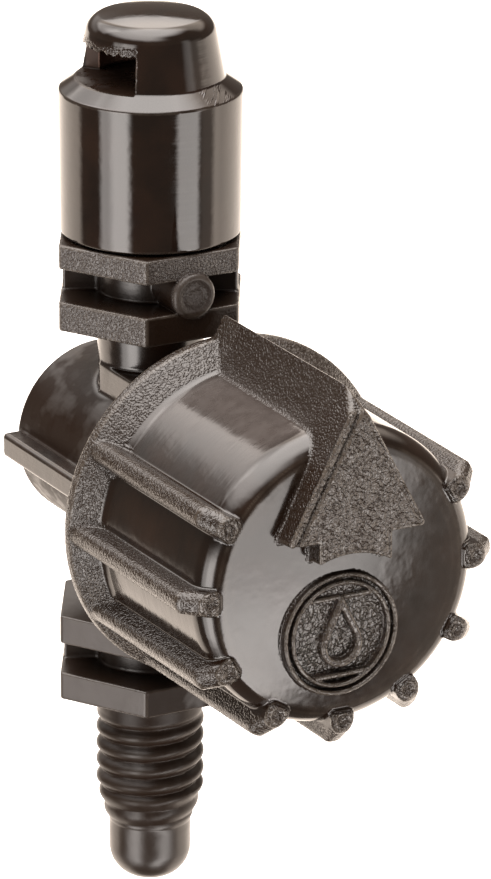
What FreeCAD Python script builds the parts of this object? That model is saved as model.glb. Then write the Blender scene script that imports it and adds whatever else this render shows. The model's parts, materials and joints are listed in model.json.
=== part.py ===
import FreeCAD, Part
import math
import os

# Micro-irrigation spray emitter with a quarter-turn flow-control valve.
# Millimetres, +Z up along the riser. The origin is on the riser's axis, at the shoulder of
# the inlet thread. The valve's axis lies along Y, and the knob is on the -Y side.

# riser and inlet
WATERWAY_R = 0.8
THREAD_CREST_R = 2.413
THREAD_ROOT_R = 2.15
THREAD_PITCH = 0.794
THREAD_CREST_WIDTH = 0.32
THREAD_NECK_R = 2.38
THREAD_NECK_LENGTH = 0.85
FIRST_CREST_Z = -1.47
FULL_CRESTS = 5
LEAD_CREST_RADII = (2.25, 2.05)
PILOT_R = 1.82
PILOT_BOTTOM_Z = -9.24
PILOT_ROUND = 1.5

# spanner hexagons: pairs of flanges on a round core, joined by a web
HEX_ACROSS_FLATS = 7.81
HEX_EDGE_ROUND = 0.12
LOWER_HEX = ((0.0, 1.26), (2.65, 3.95))
UPPER_HEX = ((17.32, 18.53), (20.01, 21.12))
HEX_CORE_R = 2.3
WEB_INSET = 0.08
WEB_THICKNESS = 0.9
WEB_ANGLE = 150.0
COLUMN_HEX_R = 2.45
COLUMN_BARREL_R = 2.3

# moulding gate on the front flat of the upper hexagons
GATE_R = 1.03
GATE_END_Y = -4.2

# valve barrel
VALVE_Z = 10.63
BARREL_R = 4.1
BARREL_BACK_Y = 5.06
BARREL_MOUTH_Y = -11.9
BARREL_EDGE_ROUND = 0.35
BORE_R = 2.6
BORE_END_Y = 4.0
FIN_REACH = 5.02
FIN_HALF_HEIGHT = 0.55
FIN_BACK_Y = 4.65
FIN_FRONT_Y = -6.2
SADDLE_HALF_WIDTH = 2.35
SADDLE_TOP_Z = 15.33
SADDLE_FRONT_Y = -6.2
SADDLE_BACK_Y = 0.4

# turning stops between barrel and knob
TURN_EACH_WAY = 90.0
STOP_SLACK = 1.0
LUG_HALF_ANGLE = 8.0
LUG_REACH = 5.3
LUG_Y = (-10.2, -8.2)
STOP_HALF_ANGLE = 6.0
STOP_INNER_R = 4.5
STOP_Y = (-10.6, -7.8)

# spindle and its seals
SPINDLE_R = 2.55
SPINDLE_BACK_Y = 3.85
SPINDLE_FRONT_Y = -12.3
DRIVE_ACROSS_FLATS = 3.4
DRIVE_END_Y = -15.9
BEAD_Y = -10.7
BEAD_HALF_WIDTH = 0.3
BEAD_HEIGHT = 0.2
BEAD_PLAY = 0.05

# how far seals, the disc and the drive bite into what holds them
GRIP = 0.01
SEAL_GROOVE_R = 2.0
SEAL_SECTION_R = 0.295
SEAL_GROOVE_HALF_WIDTH = 0.34
SEAL_Y = {"spindle_seal_rear": 2.3, "spindle_seal_front": -2.5}

# knob
KNOB_BACK_Y = -6.73
RIM_R = 7.72
RIM_THICKNESS = 0.42
CONE_FRONT_R = 6.85
CONE_FRONT_Y = -8.2
KNOB_SIDE_R = 6.66
KNOB_SIDE_FRONT_Y = -16.1
KNOB_EDGE_ROUND = 1.3
FACE_R = 5.88
FACE_EDGE_Y = -17.28
FACE_CROWN = 0.35
CUP_R = 5.75
CUP_END_Y = -16.2
HUB_R = 3.1
HUB_BACK_Y = -12.6
SOCKET_END_Y = -16.0

# grip ribs
RIB_ANGLES = (-210, -180, -150, -120, -90, -60, -30, 0, 30)
RIB_ROOT_R = 6.3
RIB_CREST_R = 7.66
RIB_CREST_FRONT_R = 7.6
RIB_ROOT_WIDTH = 1.15
RIB_CREST_WIDTH = 0.9
RIB_CREST_ROUND = 0.4
RIB_BACK_Y = -7.2
RIB_SLOPE_Y = -16.65
RIB_TIP_Y = -17.38
RIB_TIP_R = 6.72

# pointer on the knob, an arrow-shaped prism; heights are from the valve's axis
POINTER_FRONT_Y = -18.55
POINTER_APEX = 8.52
POINTER_SLOPE = 1.88
POINTER_SHOULDER = 2.3
POINTER_TAIL_X = (-1.8, 1.65)
POINTER_ROUND = 0.22
POINTER_NOSE_DROP = 0.75

# round badge with a water drop on the knob's face; its centre is from the valve's axis
BADGE_X = -0.35
BADGE_UP = -2.2
BADGE_R = 2.7
BADGE_RING_WIDTH = 0.32
BADGE_FRONT_Y = -17.84
BADGE_GAP_TO_POINTER = 1.1
DROP_R = 0.95
DROP_DOWN = 0.55
DROP_TIP_UP = 1.65

# spray outlet
SPIGOT_R = 2.9
SPIGOT_TOP_Z = 26.3
SPIGOT_GROOVE_R = 2.62
SPIGOT_GROOVE_Z = (21.9, 22.9)
CAP_SEAL_Z = 25.0
CAP_SEAL_SECTION_R = 0.3
CAP_SEAL_GROOVE_HALF_WIDTH = 0.36
CAP_SEAL_GROOVE_R = 2.34
CAP_BORE_R = 2.96
CAP_BEAD_R = 2.7
CAP_BEAD_Z = (22.1, 22.7)
CAP_BOTTOM_Z = 21.25
CAP_BOTTOM_R = 3.96
CAP_RIM_Z = 27.63
CAP_RIM_R = 4.02
CAP_FLOOR_Z = 28.145
CAP_BORE_END_Z = 26.5
DISC_SEAT_R = 2.5
DISC_SEAT_END_Z = 27.2
ORIFICE_R = 0.45
BUTTON_BASE_R = 3.24
BUTTON_TOP_R = 2.82
BUTTON_WALL_TOP_Z = 30.36
BUTTON_TOP_Z = 30.86
BUTTON_EDGE_IN = 0.36
BUTTON_CROWN = 0.17
CHAMBER_R = 2.37
CHAMBER_TOP_Z = 29.68
WINDOW_START = 129.7
WINDOW_ANGLE = 100.0
FLUTE_PITCH = 10.0
FLUTE_DEPTH = 0.17
DISC_Z = (26.6, 27.2)
DISC_HOLE_R = 0.35
DISC_SLOT_WIDTH = 0.5

X_AXIS = FreeCAD.Vector(1, 0, 0)
Y_AXIS = FreeCAD.Vector(0, 1, 0)
Z_AXIS = FreeCAD.Vector(0, 0, 1)
ORIGIN = FreeCAD.Vector(0, 0, 0)
VALVE_CENTRE = FreeCAD.Vector(0, 0, VALVE_Z)


def vec(x, y, z):
    return FreeCAD.Vector(x, y, z)


def upright(radius, z0, z1):
    """A cylinder on the riser's axis."""
    return Part.makeCylinder(radius, z1 - z0, vec(0, 0, z0), Z_AXIS)


def upright_cone(r0, r1, z0, z1):
    return Part.makeCone(r0, r1, z1 - z0, vec(0, 0, z0), Z_AXIS)


def level(radius, y0, y1):
    """A cylinder on the valve's axis."""
    low = min(y0, y1)
    return Part.makeCylinder(radius, abs(y1 - y0), vec(0, low, VALVE_Z), Y_AXIS)


def block(x0, x1, y0, y1, z0, z1):
    return Part.makeBox(x1 - x0, y1 - y0, z1 - z0, vec(x0, y0, z0))


def fused(shapes):
    return shapes[0].multiFuse(shapes[1:]).removeSplitter()


def cut_all(shape, tools):
    for tool in tools:
        shape = shape.cut(tool)
    return shape


def closed_face(edges):
    return Part.Face(Part.Wire(edges))


def polygon_face(points):
    return Part.Face(Part.makePolygon(points + [points[0]]))


def turned_about_z(points):
    """The solid that an outline of (radius, z) points sweeps round the riser's axis."""
    face = polygon_face([vec(r, 0, z) for r, z in points])
    return face.revolve(ORIGIN, Z_AXIS, 360)


def turned_about_valve(points):
    """The solid that an outline of (radius, y) points sweeps round the valve's axis."""
    face = polygon_face([vec(r, y, VALVE_Z) for r, y in points])
    return face.revolve(VALVE_CENTRE, Y_AXIS, 360)


def line(a, b):
    return Part.LineSegment(a, b).toShape()


def arc(a, middle, b):
    return Part.Arc(a, middle, b).toShape()


def crown_arc(pole, outward, side, reach, rise):
    """Half of a shallow dome's outline, from its rim to the pole, with its centre on the axis."""
    radius = (reach * reach + rise * rise) / (2 * rise)
    centre = pole - outward * radius
    half = math.asin(reach / radius) / 2
    middle = centre + side * (radius * math.sin(half)) + outward * (radius * math.cos(half))
    rim = pole - outward * rise + side * reach
    return arc(rim, middle, pole)


def hexagon(across_flats, z0, z1, edge_round):
    """A hexagonal prism with corners on X and flats facing Y."""
    corner_r = across_flats / math.sqrt(3)
    corners = [
        vec(corner_r * math.cos(math.radians(60 * k)), corner_r * math.sin(math.radians(60 * k)), z0)
        for k in range(6)
    ]
    prism = polygon_face(corners).extrude(vec(0, 0, z1 - z0))
    return prism.makeFillet(edge_round, prism.Edges)


def sector(r0, r1, y0, y1, angle, half_angle):
    """A block of a ring round the valve's axis, centred on an angle from +X towards +Z."""
    low = min(y0, y1)
    start = vec(math.cos(math.radians(angle - half_angle)), 0, math.sin(math.radians(angle - half_angle)))
    face = polygon_face(
        [
            VALVE_CENTRE + start * r0 + vec(0, low, 0),
            VALVE_CENTRE + start * r1 + vec(0, low, 0),
            VALVE_CENTRE + start * r1 + vec(0, low + abs(y1 - y0), 0),
            VALVE_CENTRE + start * r0 + vec(0, low + abs(y1 - y0), 0),
        ]
    )
    return face.revolve(VALVE_CENTRE, vec(0, -1, 0), 2 * half_angle)


def pilot_tip():
    """The plain end of the inlet, with a large rounded nose."""
    straight_z = PILOT_BOTTOM_Z + PILOT_ROUND
    flat_r = PILOT_R - PILOT_ROUND
    slant = PILOT_ROUND * math.sqrt(0.5)
    top_z = FIRST_CREST_Z
    edges = [
        line(vec(0, 0, PILOT_BOTTOM_Z), vec(flat_r, 0, PILOT_BOTTOM_Z)),
        arc(
            vec(flat_r, 0, PILOT_BOTTOM_Z),
            vec(flat_r + slant, 0, straight_z - slant),
            vec(PILOT_R, 0, straight_z),
        ),
        line(vec(PILOT_R, 0, straight_z), vec(PILOT_R, 0, top_z)),
        line(vec(PILOT_R, 0, top_z), vec(0, 0, top_z)),
        line(vec(0, 0, top_z), vec(0, 0, PILOT_BOTTOM_Z)),
    ]
    return closed_face(edges).revolve(ORIGIN, Z_AXIS, 360)


def inlet_thread():
    """Thread ridges as rings at the thread's pitch, smaller towards the pilot."""
    radii = [THREAD_CREST_R] * FULL_CRESTS + list(LEAD_CREST_RADII)
    half_pitch = THREAD_PITCH / 2
    outline = [(0, 0), (THREAD_NECK_R, 0), (THREAD_NECK_R, -THREAD_NECK_LENGTH)]
    z = FIRST_CREST_Z
    root = THREAD_ROOT_R
    outline.append((root, z + half_pitch))
    for radius in radii:
        root = min(THREAD_ROOT_R, radius - 0.14)
        outline.append((radius, z + THREAD_CREST_WIDTH / 2))
        outline.append((radius, z - THREAD_CREST_WIDTH / 2))
        outline.append((root, z - half_pitch))
        z -= THREAD_PITCH
    outline.append((0, z + half_pitch))
    return turned_about_z(outline)


def double_hex(levels):
    """Two hexagon flanges, the core between them and the web that joins them."""
    (low0, low1), (high0, high1) = levels
    inner = 0.2
    reach = HEX_ACROSS_FLATS / 2 - WEB_INSET
    web = block(-reach, reach, -WEB_THICKNESS / 2, WEB_THICKNESS / 2, low1 - inner, high0 + inner)
    web.rotate(ORIGIN, Z_AXIS, WEB_ANGLE)
    core = upright(HEX_CORE_R, low0 + inner, high1 - inner)
    flanges = [hexagon(HEX_ACROSS_FLATS, z0, z1, HEX_EDGE_ROUND) for z0, z1 in levels]
    return flanges + [core, web]


def gate_vestige():
    """The sheared-off moulding gate across the groove of the upper hexagons."""
    z = (UPPER_HEX[0][1] + UPPER_HEX[1][0]) / 2
    boss = Part.makeCylinder(GATE_R, -GATE_END_Y - 2.0, vec(0, GATE_END_Y, z), Y_AXIS)
    end = [e for e in boss.Edges if abs(e.BoundBox.YMax - GATE_END_Y) < 1e-6]
    return boss.makeFillet(0.25, end)


def barrel():
    shell = level(BARREL_R, BARREL_BACK_Y, BARREL_MOUTH_Y)
    back_edges = [e for e in shell.Edges if e.BoundBox.YMin > BARREL_BACK_Y - 1e-3]
    shell = shell.makeFillet(BARREL_EDGE_ROUND, back_edges)
    fin = block(-FIN_REACH, FIN_REACH, FIN_FRONT_Y, FIN_BACK_Y, VALVE_Z - FIN_HALF_HEIGHT, VALVE_Z + FIN_HALF_HEIGHT)
    outer = [e for e in fin.Edges if abs(abs(e.CenterOfMass.x) - FIN_REACH) < 1e-6]
    fin = fin.makeFillet(0.22, outer)
    lug = sector(BARREL_R - 0.4, LUG_REACH, LUG_Y[0], LUG_Y[1], 270, LUG_HALF_ANGLE)
    saddles = [
        block(-SADDLE_HALF_WIDTH, SADDLE_HALF_WIDTH, SADDLE_FRONT_Y, SADDLE_BACK_Y, VALVE_Z, SADDLE_TOP_Z),
        block(
            -SADDLE_HALF_WIDTH,
            SADDLE_HALF_WIDTH,
            SADDLE_FRONT_Y,
            SADDLE_BACK_Y,
            2 * VALVE_Z - SADDLE_TOP_Z,
            VALVE_Z,
        ),
    ]
    return [shell, fin, lug] + saddles


def barrel_bore():
    bore = level(BORE_R, BORE_END_Y, BARREL_MOUTH_Y - 1)
    groove_half = BEAD_HALF_WIDTH + BEAD_PLAY
    groove = level(SPINDLE_R + BEAD_HEIGHT + BEAD_PLAY, BEAD_Y - groove_half, BEAD_Y + groove_half)
    return bore.fuse(groove)


def outlet_spigot():
    """The round nose that carries the spray cap, grooved for the cap's bead and its seal."""
    top = UPPER_HEX[1][1] - 0.2
    nose = upright(SPIGOT_R, top, SPIGOT_TOP_Z)
    bead_groove = upright(SPIGOT_R + 1, *SPIGOT_GROOVE_Z).cut(upright(SPIGOT_GROOVE_R, *SPIGOT_GROOVE_Z))
    seal_z = (CAP_SEAL_Z - CAP_SEAL_GROOVE_HALF_WIDTH, CAP_SEAL_Z + CAP_SEAL_GROOVE_HALF_WIDTH)
    seal_groove = upright(SPIGOT_R + 1, *seal_z).cut(upright(CAP_SEAL_GROOVE_R, *seal_z))
    return cut_all(nose, [bead_groove, seal_groove])


def valve_body():
    """The one moulding that joins inlet, barrel and outlet."""
    lower_column = upright_cone(COLUMN_HEX_R, COLUMN_BARREL_R, LOWER_HEX[1][1] - 0.2, VALVE_Z - BORE_R)
    upper_column = upright_cone(COLUMN_BARREL_R, COLUMN_HEX_R, VALVE_Z + BORE_R, UPPER_HEX[0][0] + 0.2)
    pieces = [inlet_thread(), pilot_tip(), lower_column, upper_column, gate_vestige(), outlet_spigot()]
    pieces += double_hex(LOWER_HEX) + double_hex(UPPER_HEX) + barrel()
    body = fused(pieces)
    waterway = upright(WATERWAY_R, PILOT_BOTTOM_Z - 1, SPIGOT_TOP_Z + 1)
    return cut_all(body, [barrel_bore(), waterway])


def drive_prism(across_flats, y0, y1):
    """A hexagonal prism on the valve's axis."""
    corner_r = across_flats / math.sqrt(3)
    corners = [
        VALVE_CENTRE
        + vec(corner_r * math.cos(math.radians(60 * k)), y0, corner_r * math.sin(math.radians(60 * k)))
        for k in range(6)
    ]
    return polygon_face(corners).extrude(vec(0, y1 - y0, 0))


def valve_spindle():
    """The turning plug: cross port, seal grooves, snap bead and the drive for the knob."""
    plug = level(SPINDLE_R, SPINDLE_BACK_Y, SPINDLE_FRONT_Y)
    bead = turned_about_valve(
        [
            (SPINDLE_R - 0.5, BEAD_Y - BEAD_HALF_WIDTH),
            (SPINDLE_R, BEAD_Y - BEAD_HALF_WIDTH),
            (SPINDLE_R + BEAD_HEIGHT, BEAD_Y - BEAD_HALF_WIDTH / 3),
            (SPINDLE_R + BEAD_HEIGHT, BEAD_Y + BEAD_HALF_WIDTH / 3),
            (SPINDLE_R, BEAD_Y + BEAD_HALF_WIDTH),
            (SPINDLE_R - 0.5, BEAD_Y + BEAD_HALF_WIDTH),
        ]
    )
    drive = drive_prism(DRIVE_ACROSS_FLATS, SPINDLE_FRONT_Y + 0.5, DRIVE_END_Y)
    spindle = fused([plug, bead, drive])
    port = Part.makeCylinder(WATERWAY_R, 4 * SPINDLE_R, vec(0, 0, VALVE_Z - 2 * SPINDLE_R), Z_AXIS)
    grooves = []
    for y in SEAL_Y.values():
        y0 = y - SEAL_GROOVE_HALF_WIDTH
        y1 = y + SEAL_GROOVE_HALF_WIDTH
        grooves.append(level(SPINDLE_R + 1, y0, y1).cut(level(SEAL_GROOVE_R, y0, y1)))
    return cut_all(spindle, [port] + grooves)


def spindle_seal(y):
    ring_r = SEAL_GROOVE_R - GRIP + SEAL_SECTION_R
    return Part.makeTorus(ring_r, SEAL_SECTION_R, vec(0, y, VALVE_Z), Y_AXIS)


def cap_seal():
    ring_r = CAP_SEAL_GROOVE_R - GRIP + CAP_SEAL_SECTION_R
    return Part.makeTorus(ring_r, CAP_SEAL_SECTION_R, vec(0, 0, CAP_SEAL_Z), Z_AXIS)


def knob_shell():
    """The knob's turned outline: rim, cone, side, rounded edge and slightly crowned face."""
    side_edge = VALVE_CENTRE + vec(KNOB_SIDE_R, KNOB_SIDE_FRONT_Y, 0)
    face_edge = VALVE_CENTRE + vec(FACE_R, FACE_EDGE_Y, 0)
    turn = math.radians(35)
    round_middle = VALVE_CENTRE + vec(
        KNOB_SIDE_R - KNOB_EDGE_ROUND * (1 - math.cos(turn)),
        KNOB_SIDE_FRONT_Y - KNOB_EDGE_ROUND * math.sin(turn),
        0,
    )
    centre = VALVE_CENTRE + vec(0, FACE_EDGE_Y - FACE_CROWN, 0)
    back = VALVE_CENTRE + vec(0, KNOB_BACK_Y, 0)
    rim_back = VALVE_CENTRE + vec(RIM_R, KNOB_BACK_Y, 0)
    rim_front = VALVE_CENTRE + vec(RIM_R, KNOB_BACK_Y - RIM_THICKNESS, 0)
    cone_front = VALVE_CENTRE + vec(CONE_FRONT_R, CONE_FRONT_Y, 0)
    side_back = VALVE_CENTRE + vec(KNOB_SIDE_R, CONE_FRONT_Y - 0.4, 0)
    edges = [
        line(back, rim_back),
        line(rim_back, rim_front),
        line(rim_front, cone_front),
        line(cone_front, side_back),
        line(side_back, side_edge),
        arc(side_edge, round_middle, face_edge),
        crown_arc(centre, vec(0, -1, 0), X_AXIS, FACE_R, FACE_CROWN),
        line(centre, back),
    ]
    return closed_face(edges).revolve(VALVE_CENTRE, Y_AXIS, 360)


def grip_rib(angle):
    """One rib: a tapered bar with a rounded crest and a sloped front end."""
    half_root = RIB_ROOT_WIDTH / 2
    half_crest = RIB_CREST_WIDTH / 2

    def section(y, crest_r, crest_half):
        return Part.makePolygon(
            [
                vec(RIB_ROOT_R, y, -half_root),
                vec(crest_r, y, -crest_half),
                vec(crest_r, y, crest_half),
                vec(RIB_ROOT_R, y, half_root),
                vec(RIB_ROOT_R, y, -half_root),
            ]
        )

    bar = Part.makeLoft(
        [
            section(RIB_BACK_Y, RIB_CREST_R, half_crest),
            section(RIB_TIP_Y, RIB_CREST_FRONT_R, half_crest),
        ],
        True,
        True,
    )
    crest = [e for e in bar.Edges if e.Length > 5 and e.CenterOfMass.x > RIB_ROOT_R + 0.5]
    bar = bar.makeFillet(RIB_CREST_ROUND, crest)
    slope = polygon_face(
        [
            vec(RIB_CREST_FRONT_R + 0.3, RIB_SLOPE_Y + 0.24, -2),
            vec(RIB_TIP_R, RIB_TIP_Y, -2),
            vec(RIB_TIP_R, RIB_TIP_Y - 1, -2),
            vec(RIB_CREST_FRONT_R + 0.3, RIB_TIP_Y - 1, -2),
        ]
    ).extrude(vec(0, 0, 4))
    bar = bar.cut(slope)
    bar.translate(VALVE_CENTRE)
    bar.rotate(VALVE_CENTRE, vec(0, -1, 0), angle)
    return bar


def pointer_outline():
    """The arrow's corners, as (x, height above the valve's axis), clockwise from the apex."""
    shoulder_x = (POINTER_APEX - POINTER_SHOULDER) / POINTER_SLOPE
    tail_top = POINTER_SHOULDER - 0.1
    left, right = POINTER_TAIL_X
    return [
        (0, POINTER_APEX),
        (shoulder_x, POINTER_SHOULDER),
        (right, tail_top),
        (right, 0),
        (left, 0),
        (left, tail_top),
        (-shoulder_x, POINTER_SHOULDER),
    ]


def pointer():
    """The arrow-shaped prism from the rim to just in front of the face."""
    corners = [vec(x, KNOB_BACK_Y, VALVE_Z + up) for x, up in pointer_outline()]
    prism = polygon_face(corners).extrude(vec(0, POINTER_FRONT_Y - KNOB_BACK_Y, 0))
    sharp = [
        e
        for e in prism.Edges
        if e.Length > 5 and e.BoundBox.ZMax > VALVE_Z + POINTER_SHOULDER - 0.01 and e.BoundBox.YLength > 5
    ]
    prism = prism.makeFillet(POINTER_ROUND, sharp)
    arch_r = BADGE_R + BADGE_GAP_TO_POINTER
    arch = Part.makeCylinder(arch_r, 14, vec(BADGE_X, POINTER_FRONT_Y - 1, VALVE_Z + BADGE_UP), Y_AXIS)
    top = POINTER_APEX + 1
    nose = polygon_face(
        [
            vec(-3, POINTER_FRONT_Y - 1, VALVE_Z + POINTER_APEX - 1.0 - POINTER_NOSE_DROP),
            vec(-3, POINTER_FRONT_Y - 1, VALVE_Z + top),
            vec(-3, POINTER_FRONT_Y + 1.75, VALVE_Z + top),
        ]
    ).extrude(vec(6, 0, 0))
    return cut_all(prism, [arch, nose])


def badge():
    """A raised ring round a raised water drop."""
    centre = vec(BADGE_X, BADGE_FRONT_Y, VALVE_Z + BADGE_UP)
    depth = 1.0
    ring = Part.makeCylinder(BADGE_R, depth, centre, Y_AXIS)
    ring = ring.cut(Part.makeCylinder(BADGE_R - BADGE_RING_WIDTH, depth, centre, Y_AXIS))
    middle = centre + vec(0, 0, -DROP_DOWN)
    tip = centre + vec(0, 0, DROP_TIP_UP)
    reach = DROP_TIP_UP + DROP_DOWN
    side = math.acos(DROP_R / reach)
    right = middle + vec(DROP_R * math.sin(side), 0, DROP_R * math.cos(side))
    left = middle + vec(-DROP_R * math.sin(side), 0, DROP_R * math.cos(side))
    edges = [line(tip, right), arc(right, middle + vec(0, 0, -DROP_R), left), line(left, tip)]
    drop = closed_face(edges).extrude(vec(0, depth, 0))
    return [ring, drop]


def control_knob():
    """The cup-shaped knob: shell, ribs, pointer, badge, turning stops and the hub's socket."""
    outside = fused([knob_shell(), pointer()] + [grip_rib(a) for a in RIB_ANGLES] + badge())
    cup = level(CUP_R, KNOB_BACK_Y + 1, CUP_END_Y)
    knob = outside.cut(cup)
    hub = level(HUB_R, HUB_BACK_Y, CUP_END_Y - 0.2)
    spread = TURN_EACH_WAY + STOP_SLACK + LUG_HALF_ANGLE + STOP_HALF_ANGLE
    stops = [
        sector(STOP_INNER_R, CUP_R + 0.3, STOP_Y[0], STOP_Y[1], 270 + side * spread, STOP_HALF_ANGLE)
        for side in (-1, 1)
    ]
    knob = fused([knob, hub] + stops)
    socket = drive_prism(DRIVE_ACROSS_FLATS - 2 * GRIP, HUB_BACK_Y + 1, SOCKET_END_Y)
    return knob.cut(socket)


def cap_outline_solid():
    """The cap's turned outside: skirt, sloped shoulder and domed button."""
    wall_top = vec(BUTTON_TOP_R, 0, BUTTON_WALL_TOP_Z)
    edge_top = vec(BUTTON_TOP_R - BUTTON_EDGE_IN, 0, BUTTON_TOP_Z - BUTTON_CROWN)
    edge_middle = vec(BUTTON_TOP_R - 0.08, 0, BUTTON_TOP_Z - 0.26)
    top = vec(0, 0, BUTTON_TOP_Z)
    edges = [
        line(vec(0, 0, CAP_BOTTOM_Z), vec(CAP_BOTTOM_R, 0, CAP_BOTTOM_Z)),
        line(vec(CAP_BOTTOM_R, 0, CAP_BOTTOM_Z), vec(CAP_RIM_R, 0, CAP_RIM_Z)),
        line(vec(CAP_RIM_R, 0, CAP_RIM_Z), vec(BUTTON_BASE_R, 0, CAP_FLOOR_Z)),
        line(vec(BUTTON_BASE_R, 0, CAP_FLOOR_Z), wall_top),
        arc(wall_top, edge_middle, edge_top),
        crown_arc(top, Z_AXIS, X_AXIS, BUTTON_TOP_R - BUTTON_EDGE_IN, BUTTON_CROWN),
        line(top, vec(0, 0, CAP_BOTTOM_Z)),
    ]
    return closed_face(edges).revolve(ORIGIN, Z_AXIS, 360)


def spray_window():
    """The quarter-circle window in the button's wall."""
    start = math.radians(WINDOW_START)
    reach = BUTTON_BASE_R + 1
    along = vec(math.cos(start), math.sin(start), 0)
    face = polygon_face(
        [
            along * (CHAMBER_R - 0.4) + vec(0, 0, CAP_FLOOR_Z),
            along * reach + vec(0, 0, CAP_FLOOR_Z),
            along * reach + vec(0, 0, CHAMBER_TOP_Z),
            along * (CHAMBER_R - 0.4) + vec(0, 0, CHAMBER_TOP_Z),
        ]
    )
    return face.revolve(ORIGIN, Z_AXIS, WINDOW_ANGLE)


def crown_flutes():
    """V grooves under the crown that split the spray into streams."""
    flutes = []
    half_width = BUTTON_BASE_R * math.radians(FLUTE_PITCH) / 2 * 0.9
    for k in range(round(WINDOW_ANGLE / FLUTE_PITCH)):
        angle = WINDOW_START + FLUTE_PITCH * (k + 0.5)
        groove = polygon_face(
            [
                vec(0.9, -half_width, CHAMBER_TOP_Z - 0.05),
                vec(0.9, half_width, CHAMBER_TOP_Z - 0.05),
                vec(0.9, 0, CHAMBER_TOP_Z + FLUTE_DEPTH),
            ]
        ).extrude(vec(BUTTON_BASE_R, 0, 0))
        groove.rotate(ORIGIN, Z_AXIS, angle)
        flutes.append(groove)
    return flutes


def spray_cap():
    """The cap: skirt that snaps on the spigot, orifice, spray chamber and side window."""
    outside = cap_outline_solid()
    bore = upright(CAP_BORE_R, CAP_BOTTOM_Z - 1, CAP_BORE_END_Z)
    mouth = upright_cone(CAP_BORE_R + 0.25, CAP_BORE_R, CAP_BOTTOM_Z - 0.01, CAP_BOTTOM_Z + 0.25)
    bead = upright(CAP_BORE_R + 0.3, *CAP_BEAD_Z).cut(upright(CAP_BEAD_R, *CAP_BEAD_Z))
    seat = upright(DISC_SEAT_R, CAP_BORE_END_Z - 0.1, DISC_SEAT_END_Z)
    orifice = upright(ORIFICE_R, DISC_SEAT_END_Z - 0.1, CAP_FLOOR_Z + 0.1)
    chamber = upright(CHAMBER_R, CAP_FLOOR_Z, CHAMBER_TOP_Z)
    cap = cut_all(outside, [bore, mouth, seat, orifice, chamber, spray_window()] + crown_flutes())
    return cap.fuse(bead).removeSplitter()


def nozzle_disc():
    """The metering disc under the orifice, notched at its edge."""
    radius = DISC_SEAT_R + GRIP
    disc = upright(radius, *DISC_Z).cut(upright(DISC_HOLE_R, DISC_Z[0] - 1, DISC_Z[1] + 1))
    half = DISC_SLOT_WIDTH / 2
    notches = []
    for k in range(3):
        notch = block(radius - 0.5, radius + 0.5, -half, half, DISC_Z[0] - 0.1, DISC_Z[1] + 0.1)
        notch.rotate(ORIGIN, Z_AXIS, 120 * k)
        notches.append(notch)
    return cut_all(disc, notches)


def nodes():
    parts = {
        "valve_body": valve_body(),
        "control_knob": control_knob(),
        "valve_spindle": valve_spindle(),
        "spray_cap": spray_cap(),
        "nozzle_disc": nozzle_disc(),
        "cap_seal": cap_seal(),
    }
    for name, y in SEAL_Y.items():
        parts[name] = spindle_seal(y)
    return parts


os.makedirs("parts", exist_ok=True)
for name, shape in nodes().items():
    solids = shape.Solids
    print(name, "solids", len(solids), "valid", shape.isValid(), "volume %.3f" % shape.Volume)
    (solids[0] if len(solids) == 1 else shape).exportStep(f"parts/{name}.step")
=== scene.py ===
import json
import math

import bpy
import numpy as np
from mathutils import Matrix, Vector


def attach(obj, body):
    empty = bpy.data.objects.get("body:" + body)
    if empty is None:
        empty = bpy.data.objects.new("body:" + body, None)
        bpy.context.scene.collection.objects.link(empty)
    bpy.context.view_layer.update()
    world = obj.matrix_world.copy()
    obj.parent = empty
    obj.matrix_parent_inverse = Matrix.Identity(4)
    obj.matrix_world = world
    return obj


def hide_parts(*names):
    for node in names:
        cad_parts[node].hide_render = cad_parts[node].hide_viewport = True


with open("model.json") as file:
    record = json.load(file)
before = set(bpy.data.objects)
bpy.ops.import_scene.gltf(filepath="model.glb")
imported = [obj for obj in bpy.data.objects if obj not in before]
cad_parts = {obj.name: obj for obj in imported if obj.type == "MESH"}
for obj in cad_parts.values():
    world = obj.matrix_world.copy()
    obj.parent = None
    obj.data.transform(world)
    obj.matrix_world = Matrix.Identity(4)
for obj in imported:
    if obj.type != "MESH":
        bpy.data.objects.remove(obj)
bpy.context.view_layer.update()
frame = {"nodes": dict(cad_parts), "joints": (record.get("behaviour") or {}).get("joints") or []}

MM = 0.001


# ---------------------------------------------------------------- driving dimensions
# Millimetres and degrees. A pair of heights or depths gives a feature's two ends.

def joint_height(name):
    joint = next(j for j in frame["joints"] if j["name"] == name)
    return round(joint["pos_m"][2] / MM, 3)


VALVE_Z = joint_height("knob_turn")

# Hexagons: two plates each, on a round core with a web across the gap.
HALF_FLATS = 7.81 / 2
LOWER_HEX = ((0.0, 1.26), (2.65, 3.95))
UPPER_HEX = ((17.2, 18.53), (20.01, 21.12))
HEX_CORE_RADIUS = 2.3
HEX_CORE_INSET = 0.2
WEB_ANGLE = 150
WEB_HALF_LENGTH = 3.825
WEB_HALF_THICKNESS = 0.45
GATE_Z = (UPPER_HEX[0][1] + UPPER_HEX[1][0]) / 2
GATE_RADIUS = 1.02
GATE_FACE_Y = -4.12

# Inlet: a thread that narrows towards its lower end, and a round tip.
PITCH = 0.794
CREST_Z = -3.191
CREST_RADIUS = 2.413
ROOT_RADIUS = 2.12
LEAST_DEPTH = 0.13
TAPER_Z = -4.75
TAPER_LENGTH = 1.6
TAPER_DROP = 0.463
THREAD_ENDS = (-6.45, 0.3)
THREAD_RUN_OUT = ((-6.5, -6.15), (-1.75, -1.0))
NECK_RADIUS = 2.36
NECK_LOWER_Z = -3
TIP_NECK_RADIUS = 1.8
TIP_RADIUS = 1.82
TIP_ENDS = (-9.24, -1.0)
TIP_ROUND = 1.45

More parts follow.
